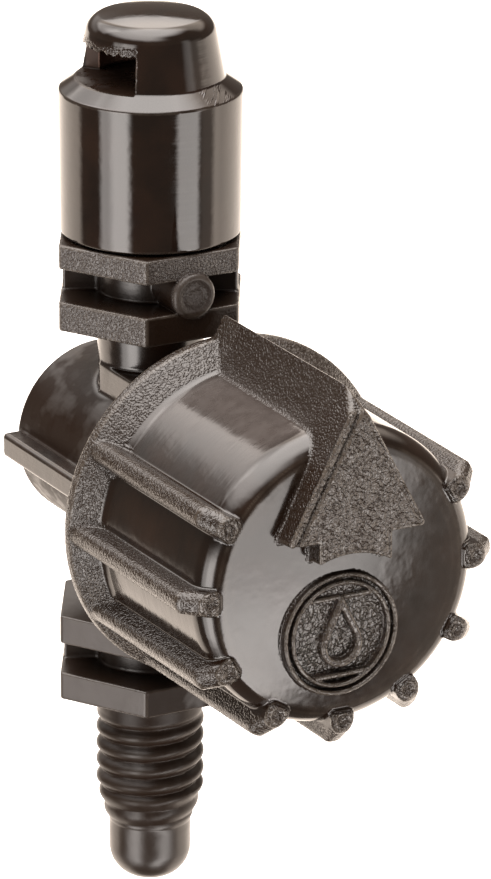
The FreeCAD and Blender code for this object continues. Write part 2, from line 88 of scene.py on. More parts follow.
# Riser and cross barrel.
COLUMN_RADIUS = 2.27
COLUMN_FLARE = 0.045
COLUMN_ENDS = (3.7, 17.6)
BARREL_RADIUS = 4.1
BARREL_ENDS = (-11.9, 5.06)
FIN_HALF_WIDTH, FIN_HALF_THICKNESS = 5.0, 0.55
FIN_ENDS = (-6.2, 4.63)
SADDLE_HALF_WIDTH, SADDLE_HALF_HEIGHT = 2.35, 4.7
SADDLE_ENDS = (-6.2, 0.4)
LUG_RADIUS, LUG_HALF_WIDTH, LUG_TOP = 5.3, 0.65, -3.5
LUG_ENDS = (-10.2, -8.2)
SPINDLE_BORE_RADIUS = 2.6
SPINDLE_BORE_ENDS = (-13.0, 4.0)
FRONT_GROOVE_RADIUS = 2.8
FRONT_GROOVE_ENDS = (-11.05, -10.35)
WATERWAY_RADIUS = 0.8

# Spigot under the cap, with a snap groove and a seal groove.
SPIGOT_RADIUS = 2.9
SPIGOT_ENDS = (20.9, 26.3)
SPIGOT_GROOVES = ((2.62, (21.9, 22.9)), (2.34, (24.64, 25.36)))

# Knob: depths run forward along its axis from the riser.
RIM_RADIUS, RIM_BACK, RIM_FRONT = 7.72, 6.73, 7.15
KNOB_RADIUS, KNOB_DRAFT, KNOB_RADIUS_DEPTH = 6.68, 0.01, 8.6
KNOB_BACK, KNOB_FRONT, FRONT_CURVE = 6.9, 17.63, 49.4
SHOULDER_DEPTH, SHOULDER_ROUND = 17.41, 1.3
SHOULDER_FLAT_RADIUS = 5.29
RIB_STEP = 30
RIB_GAPS = (60, 90, 120)
RIB_HALF = 0.5
RIB_CREST, RIB_DRAFT, RIB_START = 7.66, 0.008, 7.2
RIB_CORNER, RIB_CORNER_WAY = (7.6, 16.62), (0.72, 0.69)
RIB_FOOT, RIB_BACK, RIB_END = 5.6, 7.0, 17.42
RIB_END_FOOT = 5.82
RIB_END_RING_RADIUS = 6.33
ARROW_TIP, ARROW_SLOPE, ARROW_HEAD_BACK = 8.52, 1.88, 2.3
ARROW_SCALE = 2.129
ARROW_TAIL_SIDES, ARROW_TAIL_ENDS = (-1.8, 1.65), (0.2, 3.0)
ARROW_BACK, ARROW_FRONT = 6.75, 18.55
ARROW_NOSE, ARROW_NOSE_WAY = (8.27, 17.9), (0.724, 0.69)
BADGE_X, BADGE_V = -0.35, -2.2
BADGE_CLEARANCE = 3.8
BADGE_BACK, RING_TOP, DROP_TOP, BAR_TOP = 16.9, 17.86, 17.93, 17.82
OUTER_RING, INNER_RING = (2.54, 2.74), (2.2, 2.38)
DROP_RADIUS, DROP_POINT, DROP_CENTRE = 0.85, 1.45, -0.45
CUP_RADIUS, CUP_FRONT = 5.75, 16.2
HUB_RADIUS, HUB_ENDS = 3.1, (12.6, 16.6)
STOP_ANGLES = (270 + 105, 270 - 105)
STOP_RADII, STOP_ENDS, STOP_HALF = (4.5, 6.1), (7.8, 10.6), 0.5

# Spray cap.
CAP_Z = joint_height("cap_aim")
SKIRT_RADIUS, SKIRT_FLARE = 3.96, 0.0094
CAP_SLOPE, CAP_SLOPE_WAY = (4.022, 27.632), (0.571, 0.821)
CHAMBER_FLOOR = 28.145
BUTTON_RADIUS, BUTTON_BACK, BUTTON_WAY = 3.24, 27.5, (0.983, 0.184)
CROWN_TOP, CROWN_CURVE = 31.1, 13
CAP_BORE_RADIUS, CAP_BORE_TOP = 2.96, 26.5
SEAT_RADIUS, SEAT_TOP = 2.5, 27.2
SNAP_BEAD_RADIUS, SNAP_BEAD_ENDS = 2.7, (22.1, 22.7)
CHAMBER_RADIUS, CHAMBER_CEILING = 2.4, 29.83
FLUTE_FOOT, FLUTE_STEP = 29.68, 10.0
WINDOW_MID = 179.7
WINDOW_HALF = 50.0
WINDOW_FOOT_RADIUS = 2.0
ORIFICE_RADIUS, ORIFICE_TOP = 0.45, 29


# ---------------------------------------------------------------- shape fields
# A field gives the signed distance to a surface in millimetres, negative inside.
# The last argument of join, meet and carve is the radius of the edge between the two.

def hyp(a, b):
    return np.sqrt(a * a + b * b)


def join(a, b, r):
    """Union with a concave fillet of radius r."""
    return np.maximum(r, np.minimum(a, b)) - hyp(np.maximum(r - a, 0), np.maximum(r - b, 0))


def meet(a, b, r):
    """Intersection with a convex rounding of radius r."""
    return -join(-a, -b, r)


def carve(a, b, r):
    """a without b, its new edges rounded by r."""
    return meet(a, -b, r)


def slab(t, t0, t1):
    """Everything between two ends."""
    return np.abs(t - (t0 + t1) / 2) - (t1 - t0) / 2


def rectangle(a, b, half_a, half_b, r):
    """A centred rectangle from half its sides, with rounded corners."""
    return meet(np.abs(a) - half_a, np.abs(b) - half_b, r)


def facing(a, b, through, way):
    """A flat face through a point of the plane, facing the given direction."""
    return (a - through[0]) * way[0] + (b - through[1]) * way[1]


def turned(a, b, angle):
    """Coordinates along and across a direction given in degrees."""
    c, s = math.cos(math.radians(angle)), math.sin(math.radians(angle))
    return a * c + b * s, b * c - a * s


def step(t, t0, t1):
    """Rises smoothly from 0 at t0 to 1 at t1."""
    u = np.clip((t - t0) / (t1 - t0), 0, 1)
    return u * u * (3 - 2 * u)


def between(t, rise, fall):
    """Rises over the first stretch, stays 1 and falls over the second stretch."""
    return step(t, *rise) * step(t, fall[1], fall[0])


def bulge(t, centre, width):
    """A smooth bump of height 1."""
    return np.exp(-((t - centre) / width) ** 2)


# ---------------------------------------------------------------- meshing

BLOCK = 4
CHUNK = 400_000
SLOPE_STEP = 0.004
BEND_STEP = 0.03
FULL_BEND = 12
# A block is skipped if its centre is further off than REACH times its half diagonal and a cell.
REACH = 1.35


def evaluate(field, p):
    """The field at many points, worked out in chunks to save memory."""
    out = np.empty(len(p), p.dtype)
    for i in range(0, len(p), CHUNK):
        q = p[i:i + CHUNK]
        out[i:i + CHUNK] = field(q[:, 0], q[:, 1], q[:, 2])
    return out


def sample(field, lo, shape, cell):
    """The field on a grid, worked out in full only near its surface."""
    blocks = [math.ceil(n / BLOCK) for n in shape]
    grid = np.ones([b * BLOCK for b in blocks], np.float32)
    parts = grid.reshape(blocks[0], BLOCK, blocks[1], BLOCK, blocks[2], BLOCK).transpose(0, 2, 4, 1, 3, 5)
    index = np.indices(blocks).reshape(3, -1).T
    centres = (lo + (index * BLOCK + (BLOCK - 1) / 2) * cell).astype(np.float32)
    rough = evaluate(field, centres)
    parts[...] = np.sign(rough).reshape(blocks)[..., None, None, None]
    near = index[np.abs(rough) < REACH * (BLOCK / 2 * 3 ** 0.5 + 1) * cell]
    offsets = np.indices((BLOCK,) * 3).reshape(3, -1).T
    p = ((near[:, None, :] * BLOCK + offsets[None]) * cell + lo).reshape(-1, 3).astype(np.float32)
    parts[near[:, 0], near[:, 1], near[:, 2]] = evaluate(field, p).reshape(-1, BLOCK, BLOCK, BLOCK)
    return grid


def crossings(grid, cells, corners):
    """The mean point, in cells, where the surface crosses each cell's edges."""
    values = {c: grid[cells[:, 0] + c[0], cells[:, 1] + c[1], cells[:, 2] + c[2]] for c in corners}
    total = np.zeros((len(cells), 3))
    hits = np.zeros(len(cells))
    for c in corners:
        for axis in range(3):
            if c[axis]:
                continue
            e = tuple(v + (a == axis) for a, v in enumerate(c))
            va, vb = values[c], values[e]
            cross = (va < 0) != (vb < 0)
            t = np.where(cross, va / np.where(cross, va - vb, 1), 0)
            point = np.tile(np.array(c, float), (len(cells), 1))
            point[:, axis] += t
            total += point * cross[:, None]
            hits += cross
    return cells + total / hits[:, None]


def net(grid, lo, cell):
    """Vertices and quads of the surface where the grid changes sign."""
    inside = grid < 0
    nx, ny, nz = grid.shape
    corners = [(i, j, k) for i in (0, 1) for j in (0, 1) for k in (0, 1)]
    count = np.zeros((nx - 1, ny - 1, nz - 1), np.uint8)
    for i, j, k in corners:
        count += inside[i:nx - 1 + i, j:ny - 1 + j, k:nz - 1 + k]
    active = (count > 0) & (count < 8)
    cells = np.argwhere(active)
    ids = np.full(active.shape, -1, np.int32)
    ids[active] = np.arange(len(cells))
    verts = crossings(grid, cells, corners) * cell + lo
    quads = []
    for axis in range(3):
        low = [slice(None)] * 3
        high = [slice(None)] * 3
        low[axis] = slice(0, -1)
        high[axis] = slice(1, None)
        a, b = inside[tuple(low)], inside[tuple(high)]
        u, v = (axis + 1) % 3, (axis + 2) % 3
        edge = np.argwhere(a != b)
        for side in (u, v):
            edge = edge[(edge[:, side] > 0) & (edge[:, side] < grid.shape[side] - 1)]
        ring = []
        for du, dv in ((-1, -1), (0, -1), (0, 0), (-1, 0)):
            q = edge.copy()
            q[:, u] += du
            q[:, v] += dv
            ring.append(ids[q[:, 0], q[:, 1], q[:, 2]])
        ring = np.stack(ring, 1)
        outward = a[edge[:, 0], edge[:, 1], edge[:, 2]]
        quads.append(np.where(outward[:, None], ring, ring[:, ::-1]))
    return verts, np.concatenate(quads)


def gradient(field, p):
    g = np.empty_like(p)
    for axis in range(3):
        d = np.zeros(3)
        d[axis] = SLOPE_STEP
        g[:, axis] = (evaluate(field, p + d) - evaluate(field, p - d)) / (2 * SLOPE_STEP)
    return g


def settle(field, p, reach):
    """Moves points onto the surface along the field's slope."""
    for _ in range(3):
        g = gradient(field, p)
        push = evaluate(field, p) / np.maximum((g * g).sum(1), 0.05)
        p = p - g * np.clip(push, -reach, reach)[:, None]
    return p


def bend(field, p):
    """How sharply the surface bends: above 0 on convex edges, below 0 in corners."""
    total = 0
    for away in BEND_STEP * np.eye(3):
        total = total + (evaluate(field, p + away) + evaluate(field, p - away))
    return np.clip(total / (BEND_STEP * BEND_STEP) / FULL_BEND, -1, 1)


def add_mask(mesh, name, values):
    layer = mesh.attributes.new(name, "FLOAT", "POINT")
    layer.data.foreach_set("value", values.astype(np.float32))


def shape(name, field, lo, hi, cell, masks):
    """A mesh object from a field, with exact normals and named point masks."""
    lo = np.array(lo, float) - 2 * cell
    size = np.ceil((np.array(hi, float) + 2 * cell - lo) / cell).astype(int)
    verts, quads = net(sample(field, lo, size, cell), lo, cell)
    verts = settle(field, verts, cell)
    mesh = bpy.data.meshes.new(name)
    mesh.vertices.add(len(verts))
    mesh.vertices.foreach_set("co", (verts * MM).astype(np.float32).ravel())
    mesh.loops.add(quads.size)
    mesh.loops.foreach_set("vertex_index", quads.astype(np.int32).ravel())
    mesh.polygons.add(len(quads))
    mesh.polygons.foreach_set("loop_start", np.arange(0, quads.size, 4, dtype=np.int32))
    mesh.update(calc_edges=True)
    mesh.shade_smooth()
    g = gradient(field, verts)
    g /= np.linalg.norm(g, axis=1)[:, None]
    mesh.normals_split_custom_set_from_vertices(g.tolist())
    add_mask(mesh, "edge", bend(field, verts))
    for key, mask in masks.items():
        add_mask(mesh, key, evaluate(mask, verts))
    obj = bpy.data.objects.new(name, mesh)
    bpy.context.scene.collection.objects.link(obj)
    print(name, "faces", len(quads))
    return obj


# ---------------------------------------------------------------- valve body

def hex_side(x, y, r):
    ax = np.abs(x) * math.cos(math.radians(30)) - HALF_FLATS
    return meet(meet(ax + y / 2, ax - y / 2, r), np.abs(y) - HALF_FLATS, r)


def hex_plate(x, y, z, z0, z1):
    return meet(hex_side(x, y, 0.1), slab(z, z0, z1), 0.09)


def inlet(x, y, z, rho):
    """A helical thread under a plain neck, and a round tip."""
    turn = (z - CREST_Z) / PITCH - np.arctan2(y, x) / (2 * math.pi)
    wave = np.sqrt(np.cos(math.pi * turn) ** 2 + 0.02)
    crest = CREST_RADIUS - TAPER_DROP * np.clip((TAPER_Z - z) / TAPER_LENGTH, 0, 1)
    root = np.minimum(ROOT_RADIUS, crest - LEAST_DEPTH)
    cut = between(z, *THREAD_RUN_OUT)
    plain = np.where(z > NECK_LOWER_Z, NECK_RADIUS, TIP_NECK_RADIUS)
    radius = plain + (root + (crest - root) * wave - plain) * cut
    thread = meet((rho - radius) * 0.75, slab(z, *THREAD_ENDS), 0.05)
    tip = meet(rho - TIP_RADIUS, slab(z, *TIP_ENDS), TIP_ROUND)
    return join(thread, tip, 0.12)


def double_hex(x, y, z, rho, levels):
    """Two hexagonal plates on a round core, with a web across the gap between them."""
    lower, upper = levels
    inner = slab(z, lower[0] + HEX_CORE_INSET, upper[1] - HEX_CORE_INSET)
    along, across = turned(x, y, WEB_ANGLE)
    web = meet(rectangle(along, across, WEB_HALF_LENGTH, WEB_HALF_THICKNESS, 0.1), inner, 0.05)
    core = join(meet(rho - HEX_CORE_RADIUS, inner, 0.05), web, 0.2)
    plates = np.minimum(hex_plate(x, y, z, *lower), hex_plate(x, y, z, *upper))
    return join(plates, core, 0.12)


def gate(x, y, z):
    """The moulding gate's stub, with a raised rim and a dimpled face."""
    r = hyp(x, z - GATE_Z)
    rim = 0.06 * bulge(r, 0.8, 0.14)
    pit = np.exp(-((x - 0.2) ** 2 + (z - GATE_Z - 0.25) ** 2) / 0.03)
    dimple = 0.02 * bulge(r, 0.4, 0.1) - 0.04 * pit
    stub = meet(r - GATE_RADIUS, GATE_FACE_Y - rim - dimple - y, 0.16)
    return meet(stub, y + 1.5, 0.1)


def barrel(x, y, z):
    """The cross barrel, with its flat fin, its saddle on the riser and the lug that stops the knob."""
    v = z - VALVE_Z
    rv = hyp(x, v)
    drum = meet(rv - BARREL_RADIUS, slab(y, *BARREL_ENDS), 0.3)
    fin = meet(rectangle(x, v, FIN_HALF_WIDTH, FIN_HALF_THICKNESS, 0.2), slab(y, *FIN_ENDS), 0.2)
    saddle = meet(rectangle(x, v, SADDLE_HALF_WIDTH, SADDLE_HALF_HEIGHT, 0.1), slab(y, *SADDLE_ENDS), 0.1)
    lug = meet(rv - LUG_RADIUS, np.abs(x) - LUG_HALF_WIDTH, 0.1)
    lug = meet(lug, meet(slab(y, *LUG_ENDS), v - LUG_TOP, 0.1), 0.1)
    return join(np.minimum(join(drum, fin, 0.1), lug), saddle, 0.08)


def column(z, rho):
    """The riser, which widens slightly away from the barrel."""
    radius = COLUMN_RADIUS + COLUMN_FLARE * (np.abs(z - VALVE_Z) - 4)
    return meet(rho - radius, slab(z, *COLUMN_ENDS), 0.05)


def spigot(z, rho):
    """The post that the cap turns on."""
    post = meet(rho - SPIGOT_RADIUS, slab(z, *SPIGOT_ENDS), 0.1)
    for radius, ends in SPIGOT_GROOVES:
        post = carve(post, meet(slab(z, *ends), radius - rho, 0.02), 0.03)
    return post


def spindle_bore(x, y, z):
    """The blind bore of the barrel, with the front seal's groove."""
    rv = hyp(x, z - VALVE_Z)
    bore = meet(rv - SPINDLE_BORE_RADIUS, slab(y, *SPINDLE_BORE_ENDS), 0.1)
    groove = meet(rv - FRONT_GROOVE_RADIUS, slab(y, *FRONT_GROOVE_ENDS), 0.02)
    return np.minimum(bore, groove)


def body_field(x, y, z):
    rho = hyp(x, y)
    solid = join(barrel(x, y, z), column(z, rho), 0.15)
    solid = join(solid, double_hex(x, y, z, rho, LOWER_HEX), 0.12)
    upper = join(double_hex(x, y, z, rho, UPPER_HEX), gate(x, y, z), 0.06)
    solid = join(solid, upper, 0.12)
    solid = join(solid, inlet(x, y, z, rho), 0.1)
    solid = join(solid, spigot(z, rho), 0.06)
    solid = carve(solid, spindle_bore(x, y, z), 0.08)
    return carve(solid, rho - WATERWAY_RADIUS, 0.12)


def hex_flats(x, y):
    """1 on the hexagons' side faces."""
    return step(hex_side(x, y, 0.1), -0.12, -0.04)


def shaded_front(y, z):
    """1 on the hexagons' front flats that stand in the knob's shade."""
    plates = np.maximum(step(z, 4.3, 4.1), between(z, (17.0, 17.1), (18.54, 18.6)))
    return step(-y, 3.84, 3.88) * plates


def body_grain(x, y, z):
    """1 on spark-textured faces: the upper hexagon's flats, less on the front flats in the knob's shade,
    which paints shade there.
    """
    upper = between(z, (17.1, 17.25), (21.06, 21.14)) * (1 - 0.7 * shaded_front(y, z))
    end = 0.35 * step(-y, 3.95, 4.05) * step(z, 18.0, 18.2)
    return np.clip(np.maximum(hex_flats(x, y) * upper * step(-y, 4.0, 3.93), end), 0, 1)


def body_coarse(x, y, z):
    """Above 0 where the texture is cracked, which it is only faintly on the body."""
    return 0.2 * body_grain(x, y, z)


def body_shade_and_dull(x, y, z):
    """1 where shade is painted: on the barrel, in the gaps between the plates and on the front flats in the
    knob's shadow; the gate and the thread are just darker and duller.
    """
    drum = between(hyp(x, z - VALVE_Z), (3.9, 4.0), (4.2, 4.3)) * step(hyp(x, y), 2.4, 2.6)
    gaps = np.maximum(between(z, (1.22, 1.26), (2.65, 2.69)), between(z, (18.49, 18.53), (20.01, 20.05)))
    stub = step(hyp(x, z - GATE_Z), 1.12, 1.06) * step(-y, 2.6, 2.8)
    thread = between(z, (-6.4, -6.2), (-0.2, -0.05))
    knob_shadow_and_thread = np.maximum(shaded_front(y, z), 0.8 * thread)
    return np.maximum(np.maximum(drum, 0.15 * gaps), np.maximum(0.6 * stub, knob_shadow_and_thread))


def body_painted_sheen(x, y, z):
    """Above 0 on the hexagons' flats, where a lighter grey sheen is painted; none on the front flats in the
    knob's shade.
    """
    lower = step(z, 4.2, 4.1)
    upper = between(z, (17.1, 17.2), (21.14, 21.2))
    return hex_flats(x, y) * np.maximum(0.55 * lower, 0.5 * upper) * (1 - shaded_front(y, z))


def body_satin(x, y, z):
    """1 where the surface is smooth but dull: the inlet end and between the upper plates."""
    inlet_end = step(z, 4.6, 4.2)
    upper_end = between(z, (17.0, 17.2), (21.3, 21.6))
    return np.clip(inlet_end + 0.7 * upper_end, 0, 1)


# ---------------------------------------------------------------- knob

def knob_frame(x, y, z):
    """Height from the knob's axis, depth along it and distance from it."""
    v = z - VALVE_Z
    return v, -y, hyp(x, v)


def rib_frame(x, v):
    """Coordinates along and across the nearest rib, and whether that place has none."""
    angle = np.degrees(np.arctan2(v, x))
    nearest = np.round(angle / RIB_STEP) * RIB_STEP
    c, s = np.cos(np.radians(nearest)), np.sin(np.radians(nearest))
    missing = np.isin(nearest, RIB_GAPS)
    return x * c + v * s, v * c - x * s, missing


def ribs(x, v, f):
    """Straight grip ribs with sloped front corners and a faint ring on each end."""
    a, t, missing = rib_frame(x, v)
    crest = a - (RIB_CREST - RIB_DRAFT * (f - RIB_START))
    top = meet(crest, facing(a, f, RIB_CORNER, RIB_CORNER_WAY), 0.12)
    half = RIB_HALF + 0.06 * np.clip(7.3 - a, 0, 1)
    bar = meet(np.abs(t) - half, top, 0.42)
    under = RIB_END_FOOT - 4 * np.maximum(17.25 - f, 0) - a
    bar = meet(bar, under, 0.3)
    tip = hyp(t, a - RIB_END_RING_RADIUS)
    end = f - RIB_END - 0.05 * bulge(tip, 0.34, 0.09) + 0.04 * bulge(tip, 0, 0.2)
    bar = meet(meet(bar, end, 0.06), RIB_BACK - f, 0.05)
    bar = np.maximum(bar, RIB_FOOT - a)
    return np.where(missing, 9.0, bar)


def shell(rk, f):
    """The knob's rim, and its round body with a faintly domed front."""
    rim = meet(rk - RIM_RADIUS, RIM_BACK - f, 0.07)
    flange = meet(rim, facing(rk, f, (RIM_RADIUS, RIM_FRONT), (0.77, 0.638)), 0.06)
    side = rk - (KNOB_RADIUS - KNOB_DRAFT * (f - KNOB_RADIUS_DEPTH))
    front = hyp(rk, f - (KNOB_FRONT - FRONT_CURVE)) - FRONT_CURVE
    shoulder = f - SHOULDER_DEPTH - 0.2 * np.maximum(SHOULDER_FLAT_RADIUS - rk, 0)
    body = meet(meet(side, shoulder, SHOULDER_ROUND), front, 0.06)
    body = np.maximum(body, KNOB_BACK - f)
    return join(flange, body, 0.2)


def badge_radius(x, v):
    return hyp(x - BADGE_X, v - BADGE_V)


def arrow_outline(x, v):
    """A broad arrowhead with a short tail, cut away round the badge."""
    head = (np.abs(x) * ARROW_SLOPE + v - ARROW_TIP) / ARROW_SCALE
    head = meet(head, ARROW_HEAD_BACK - v, 0.24)
    tail = meet(slab(x, *ARROW_TAIL_SIDES), slab(v, *ARROW_TAIL_ENDS), 0.05)
    outline = join(head, tail, 0.08)
    return carve(outline, badge_radius(x, v) - BADGE_CLEARANCE, 0.1)


def arrow(x, v, f):
    """The raised arrow, with a groove along its left side and a faint sunk border."""
    draft = 0.05 * np.clip(ARROW_FRONT - f, 0, 1.6)
    outline = arrow_outline(x, v)
    left = (v - ARROW_SLOPE * x - ARROW_TIP) / ARROW_SCALE
    groove = 0.17 * bulge(left, -0.36, 0.08) * step(v, 8.4, 7.6) + 0.03 * bulge(outline, -0.16, 0.05)
    face = f - ARROW_FRONT + groove
    prism = meet(outline - draft, face, 0.1)
    nose = facing(v, f, ARROW_NOSE, ARROW_NOSE_WAY)
    return np.maximum(meet(prism, nose, 0.15), ARROW_BACK - f)


def drop_outline(bx, bv):
    """A water drop: a round bulb with two straight flanks that meet in a point."""
    sine = DROP_RADIUS / (DROP_POINT - DROP_CENTRE)
    cosine = math.sqrt(1 - sine * sine)
    side = np.abs(bx)
    flank = side * cosine + (bv - DROP_POINT) * sine
    bulb = hyp(bx, bv - DROP_CENTRE) - DROP_RADIUS
    return np.where((bv - DROP_CENTRE) > side * sine / cosine, flank, bulb)


def badge(x, v, f):
    """Raised rings round a plain water drop drawn as a ridge, between two bars."""
    bx, bv = x - BADGE_X, v - BADGE_V
    r = badge_radius(x, v)
    outer = meet(slab(r, *OUTER_RING), f - RING_TOP, 0.09)
    inner = meet(slab(r, *INNER_RING), f - RING_TOP, 0.08)
    ridge = meet(np.abs(drop_outline(bx, bv)) - 0.15, f - DROP_TOP, 0.1)
    bars = meet(np.abs(np.abs(bv + 0.1) - 1.75) - 0.1, r - 2.3, 0.05)
    bars = meet(bars, f - BAR_TOP, 0.08)
    raised = np.minimum(np.minimum(np.minimum(outer, inner), ridge), bars)
    return np.maximum(raised, BADGE_BACK - f)


def stop(x, v, f, angle):
    """A block inside the knob that meets the barrel's lug at the end of its turn."""
    a, t = turned(x, v, angle)
    block = meet(slab(a, *STOP_RADII), np.abs(t) - STOP_HALF, 0.1)
    return meet(block, slab(f, *STOP_ENDS), 0.1)


def knob_field(x, y, z):
    v, f, rk = knob_frame(x, y, z)
    solid = join(shell(rk, f), ribs(x, v, f), 0.09)
    solid = join(solid, arrow(x, v, f), 0.1)
    solid = join(solid, badge(x, v, f), 0.04)
    solid = carve(solid, meet(rk - CUP_RADIUS, f - CUP_FRONT, 0.4), 0.12)
    hub = meet(rk - HUB_RADIUS, slab(f, *HUB_ENDS), 0.1)
    for angle in STOP_ANGLES:
        solid = np.minimum(solid, stop(x, v, f, angle))
    return join(solid, hub, 0.3)


def arrow_head(x, v):
    """1 on and just round the arrow, seen from the front."""
    return step(arrow_outline(x, v), 0.2, 0.14)


def knob_grain(x, y, z):
    """1 on spark-textured faces: ribs, rim, arrow and, less so, the badge's ground."""
    v, f, rk = knob_frame(x, y, z)
    _, t, missing = rib_frame(x, v)
    sides = step(np.abs(t), 0.8, 0.7) * step(rk, 6.66, 6.76)
    ends = step(np.abs(t), 0.6, 0.5) * step(rk, 5.9, 6.0) * step(f, 17.3, 17.36)
    rib = np.where(missing, 0, np.maximum(sides, ends))
    rim = step(f, 8.4, 8.25) * step(rk, 6.8, 6.9)
    head = arrow_head(x, v) * step(arrow(x, v, f), 0.12, 0.05)
    ground = step(badge_radius(x, v), 2.78, 2.7) * step(f, 17.0, 17.2)
    return np.clip(np.maximum(np.maximum(rib, rim), np.maximum(head, 0.55 * ground)), 0, 1)


def knob_coarse(x, y, z):
    """1 where the texture is cracked: the arrow's face, badge and rib ends, and faintly on the rim."""
    v, f, _ = knob_frame(x, y, z)
    head = arrow_head(x, v)
    front = head * step(f, 18.3, 18.42) + (1 - head) * step(f, 17.3, 17.45)
    return np.clip(np.maximum(front, 0.25 * step(f, 8.4, 8.25)), 0, 1)


def knob_painted_sheen(x, y, z):
    """1 on the side panel beside the arrow, where a lighter grey sheen is painted."""
    v, f, _ = knob_frame(x, y, z)
    angle = np.degrees(np.arctan2(v, x))
    return between(angle, (96, 104), (112, 136)) * between(f, (8.2, 8.8), (15.6, 16.9))


# ---------------------------------------------------------------- spray cap

def window_angle(x, y):
    """Degrees round the cap from the middle of the spray window."""
    return np.degrees(np.arctan2(y, x)) % 360 - WINDOW_MID


def in_window(x, y, soft):
    """1 within the window's sides, fading out over the given degrees beyond them."""
    return step(np.abs(window_angle(x, y)), WINDOW_HALF + soft[1], WINDOW_HALF + soft[0])


def cap_outside(rho, z):
    """Skirt, sloped shoulder and a button with a domed crown."""
    skirt = rho - (SKIRT_RADIUS + SKIRT_FLARE * (z - CAP_Z))
    lower = meet(meet(skirt, facing(rho, z, CAP_SLOPE, CAP_SLOPE_WAY), 0.06), CAP_Z - z, 0.1)
    wall = facing(rho, z, (BUTTON_RADIUS, CHAMBER_FLOOR), BUTTON_WAY)
    dome = hyp(rho, z - (CROWN_TOP - CROWN_CURVE)) - CROWN_CURVE
    button = np.maximum(meet(wall, dome, 0.5), BUTTON_BACK - z)
    return join(lower, button, 0.04)


def cap_bore(rho, z):
    """The bore over the spigot, the disc's seat above it, and the snap bead left standing."""
    bore = meet(rho - CAP_BORE_RADIUS, z - CAP_BORE_TOP, 0.05)
    bore = np.minimum(bore, rho - SEAT_RADIUS + np.maximum(z - SEAT_TOP, 0) * 50)
    bore = np.minimum(bore, meet(rho - SEAT_RADIUS, z - SEAT_TOP, 0.02))
    return np.maximum(bore, -meet(SNAP_BEAD_RADIUS - rho, slab(z, *SNAP_BEAD_ENDS), 0.02))


def spray_chamber(x, y, z, rho):
    """The round chamber and its side window, whose ceiling has slightly uneven flutes."""
    angle = window_angle(x, y)
    uneven = angle + 1.9 * np.sin(0.21 * angle + 0.6) + 1.1 * np.sin(0.53 * angle)
    tooth = np.abs(((uneven + WINDOW_HALF) / FLUTE_STEP) % 1 - 0.5) * 2
    ceiling = FLUTE_FOOT + (0.13 + 0.05 * np.sin(0.37 * angle + 1.0)) * (1 - tooth)
    chamber = meet(rho - CHAMBER_RADIUS, slab(z, CHAMBER_FLOOR, CHAMBER_CEILING), 0.06)
    wedge = np.abs(angle) - WINDOW_HALF
    jamb = rho * np.sin(np.radians(np.clip(wedge, -90, 90)))
    window = meet(jamb, np.maximum(CHAMBER_FLOOR - z, (z - ceiling) * 0.9), 0.04)
    return np.minimum(chamber, np.maximum(window, WINDOW_FOOT_RADIUS - rho))


def cap_field(x, y, z):
    rho = hyp(x, y)
    solid = carve(cap_outside(rho, z), cap_bore(rho, z), 0.05)
    solid = carve(solid, spray_chamber(x, y, z, rho), 0.04)
    return carve(solid, rho - ORIFICE_RADIUS + np.maximum(z - ORIFICE_TOP, 0) * 50, 0.04)


def cap_grain(x, y, z):
    """1 on the crown's underside and the window's cheeks."""
    under = between(z, (29.5, 29.6), (29.95, 30.15)) * step(hyp(x, y), 2.45, 2.55)
    return in_window(x, y, (0.5, 2)) * under


def cap_satin_and_painted_light(x, y, z):
    """1 inside the spray chamber, rougher there and painted a light brown that stands in for the light the
    window lets in, and a little on the jambs.
    """
    rho = hyp(x, y)
    jambs = in_window(x, y, (0.3, 1.5)) * step(rho, 3.1, 3.0) * 0.2
    return np.maximum(step(rho, 2.5, 2.42), jambs) * between(z, (28.17, 28.3), (29.6, 29.7))


def cap_shade_and_dull(x, y, z):
    """1 on the spray chamber's walls and floor and on the window's jambs, where shade is painted: darker
    jambs and less gloss inside.
    """
    rho = hyp(x, y)
    inside = in_window(x, y, (0.3, 1.5)) * step(rho, 3.3, 3.2)
    return np.maximum(step(rho, 2.5, 2.42), inside) * between(z, (28.0, 28.1), (29.6, 29.7))


def cap_scar(x, y, z):
    """1 where the shoulder is scratched."""
    angle = np.degrees(np.arctan2(y, x))
    return step(np.abs(angle + 67), 13, 6) * between(z, (27.6, 27.75), (28.1, 28.2))


# ---------------------------------------------------------------- build pieces

body = shape(
    "valve_body_skin", body_field, (-5.1, -12.0, -9.3), (5.1, 5.2, 26.4), 0.1,
    {"grain": body_grain, "coarse": body_coarse, "painted_sheen": body_painted_sheen, "satin": body_satin, "shade_and_dull": body_shade_and_dull},
)
knob = shape(
    "control_knob_skin", knob_field, (-7.8, -18.7, 2.8), (7.8, -6.6, 19.1), 0.09,
    {"grain": knob_grain, "coarse": knob_coarse, "painted_sheen": knob_painted_sheen},
)
cap = shape(
    "spray_cap_skin", cap_field, (-4.1, -4.1, 21.1), (4.1, 4.1, 31.2), 0.07,
    {"grain": cap_grain, "satin": cap_satin_and_painted_light, "shade_and_dull": cap_shade_and_dull, "scar": cap_scar},
)

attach(body, "emitter_body")
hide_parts("valve_body")
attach(knob, "knob")
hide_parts("control_knob")
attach(cap, "cap")
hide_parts("spray_cap")


# ---------------------------------------------------------------- materials
# Linear colours. Noise scales are per metre, relief depths in millimetres.

RIDGE_TINT = (0.042, 0.034, 0.028)
# Darker colour for painted shade, and for the duller gate and thread.
SHADE_AND_DULL_TINT = (0.0085, 0.0046, 0.0029)
HOLLOW_TINT = (0.0105, 0.0058, 0.0036)
# The spray chamber's inside: a light brown that is painted light.
CHAMBER_PAINTED_LIGHT_TINT = (0.16, 0.098, 0.075)
# Lighter grey for a painted sheen.
PAINTED_SHEEN_TINT = (0.050, 0.043, 0.040)
